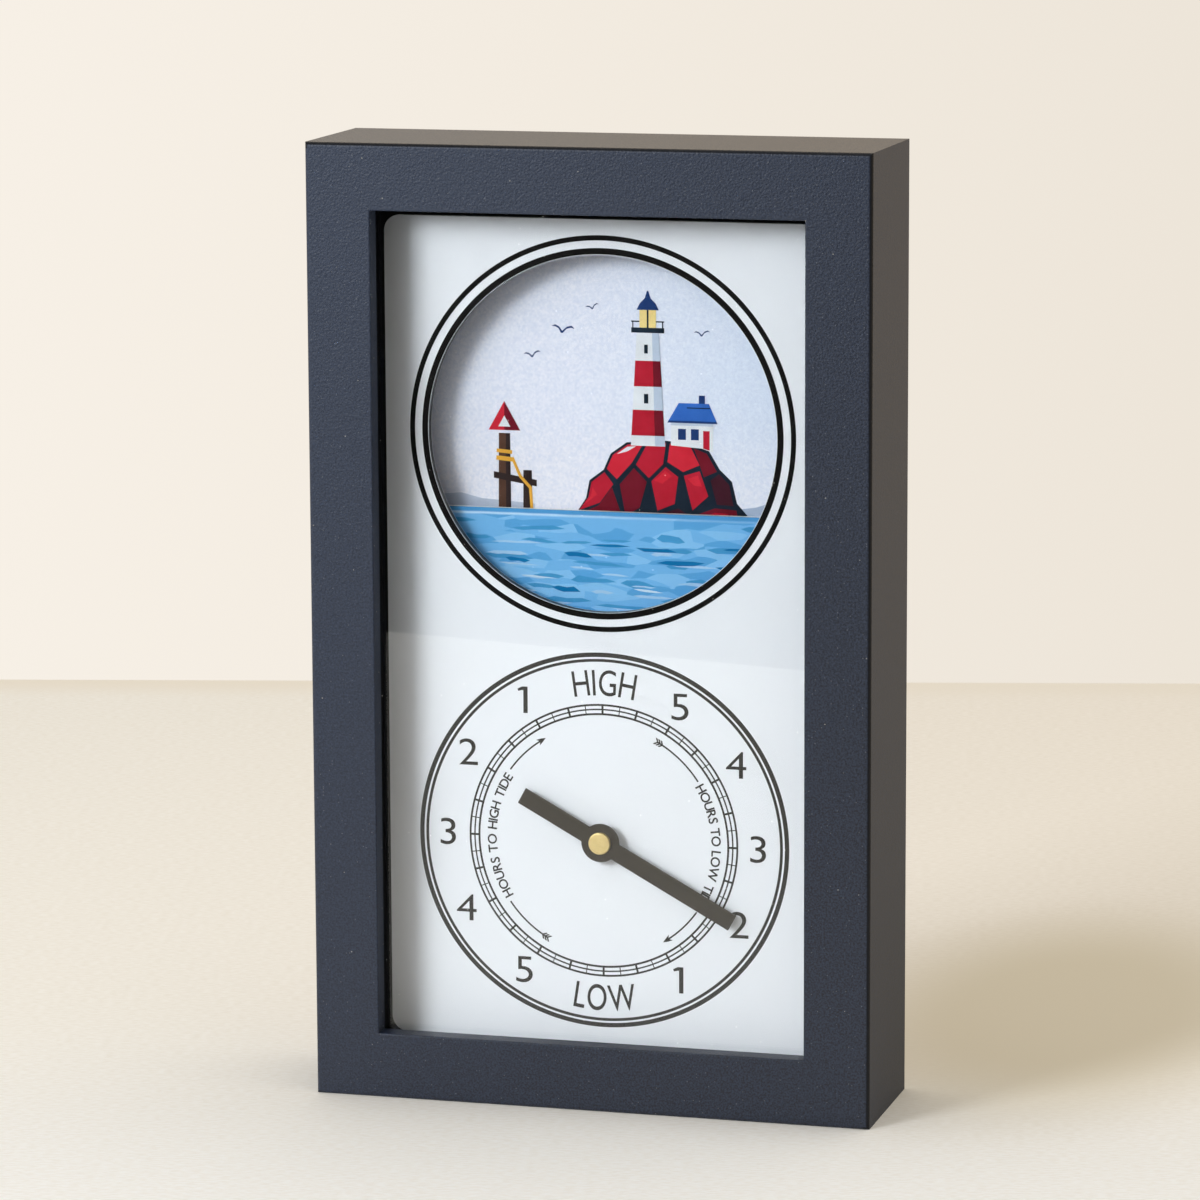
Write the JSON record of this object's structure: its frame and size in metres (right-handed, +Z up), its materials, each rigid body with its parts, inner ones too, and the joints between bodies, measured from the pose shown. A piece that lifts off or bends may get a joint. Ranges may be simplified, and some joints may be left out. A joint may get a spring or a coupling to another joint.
{
  "type": "tide clock",
  "caption": "Tall framed tide clock: one dark hand on an hours-to-tide dial, and a sea card that rises and falls behind a round window above it.",
  "frame": {"origin": "centre of the footprint, on the surface that the clock stands on", "axes": "+X to the viewer's right, +Y from the glass towards the back, +Z up"},
  "size_m": [0.181, 0.0528, 0.3048],
  "materials": {
    "navy_paint": "sprayed satin navy paint with a fine orange peel, on wood",
    "clear_glass": "clear float glass",
    "black_strip": "matt black",
    "dial_white": "satin cool white face of a composite sheet",
    "black_board": "matt black board",
    "white_sheet": "satin white plastic sheet",
    "sea_print": "laminated card with a painted sea",
    "sky_print": "laminated card with a pale sky and a shore scene",
    "brown_board": "hardboard and softwood, unpainted",
    "dark_metal": "dark olive brown satin lacquer",
    "brass": "satin brass",
    "steel": "bright zinc-plated steel",
    "black_plastic": "fine-grained moulded black plastic",
    "white_plastic": "ivory acetal",
    "fibre": "black fibre washer",
    "magnet": "dark sintered magnet",
    "copper": "enamelled copper wire",
    "circuit_green": "green solder mask",
    "cell_jacket": "plain grey shrink sleeve with bright ends"
  },
  "bodies": {
    "root": {"frame_top_rail": "navy_paint", "frame_bottom_rail": "navy_paint", "frame_left_stile": "navy_paint", "frame_right_stile": "navy_paint", "glass_pane": "clear_glass", "spacer_top": "black_strip", "spacer_bottom": "black_strip", "spacer_left": "black_strip", "spacer_right": "black_strip", "dial_plate": "dial_white", "dial_board": "black_board", "guide_rail_left": "white_sheet", "guide_rail_right": "white_sheet", "scene_card": "sky_print", "scene_board": "brown_board", "back_panel": "brown_board", "retainer_block_lower_left": "brown_board", "retainer_block_lower_right": "brown_board", "retainer_block_upper_left": "brown_board", "retainer_block_upper_right": "brown_board", "corner_v_nails": "steel", "board_screws": "steel", "bridge_screws": "steel", "back_panel_screws": "steel", "sawtooth_hanger": "steel", "hanger_screws": "steel", "contact_positive": "steel", "contact_negative": "steel", "stator": "steel", "coil_core": "steel", "quartz_crystal": "steel", "bushing_nut": "brass", "bushing_washer": "fibre", "circuit_chip": "fibre", "movement_base": "black_plastic", "movement_cover": "black_plastic", "movement_bridge": "white_plastic", "coil_bobbin": "white_plastic", "coil_winding": "copper", "circuit_board": "circuit_green", "battery_cell": "cell_jacket"},
    "hand_arbor": {"tide_hand": "dark_metal", "hand_cap": "brass", "tide_arbor": "white_plastic", "tide_cam": "white_plastic"},
    "sea": {"sea_carrier": "white_sheet", "sea_card": "sea_print"},
    "reduction_gear": {"reduction_wheel": "white_plastic"},
    "intermediate_gear": {"intermediate_wheel": "white_plastic"},
    "rotor": {"rotor_pinion": "white_plastic", "rotor_magnet": "magnet"},
    "hand_setter": {"set_pinion": "white_plastic", "set_knob": "black_plastic"}
  },
  "joints": [
    {"name": "hand_turn", "type": "hinge", "parent": "root", "child": "hand_arbor", "pos_m": [0, 0, 0.0836], "axis": [0, 1, 0], "continuous": true},
    {"name": "sea_slide", "type": "slide", "parent": "root", "child": "sea", "axis": [0, 0, 1], "range_m": [-0.008, 0.024]},
    {"name": "reduction_turn", "type": "hinge", "parent": "root", "child": "reduction_gear", "pos_m": [0.0056, 0, 0.0933], "axis": [0, 1, 0], "continuous": true},
    {"name": "intermediate_turn", "type": "hinge", "parent": "root", "child": "intermediate_gear", "pos_m": [0.01505, 0, 0.09163], "axis": [0, 1, 0], "continuous": true},
    {"name": "rotor_turn", "type": "hinge", "parent": "root", "child": "rotor", "pos_m": [0.01834, 0, 0.10065], "axis": [0, 1, 0], "continuous": true},
    {"name": "setter_turn", "type": "hinge", "parent": "root", "child": "hand_setter", "pos_m": [-0.01083, 0, 0.08754], "axis": [0, 1, 0], "continuous": true}
  ],
  "couplings": [
    {"joint": "reduction_turn", "follows": "hand_turn", "ratio": -6},
    {"joint": "intermediate_turn", "follows": "hand_turn", "ratio": 30},
    {"joint": "rotor_turn", "follows": "hand_turn", "ratio": -150},
    {"joint": "setter_turn", "follows": "hand_turn", "ratio": -5}
  ]
}
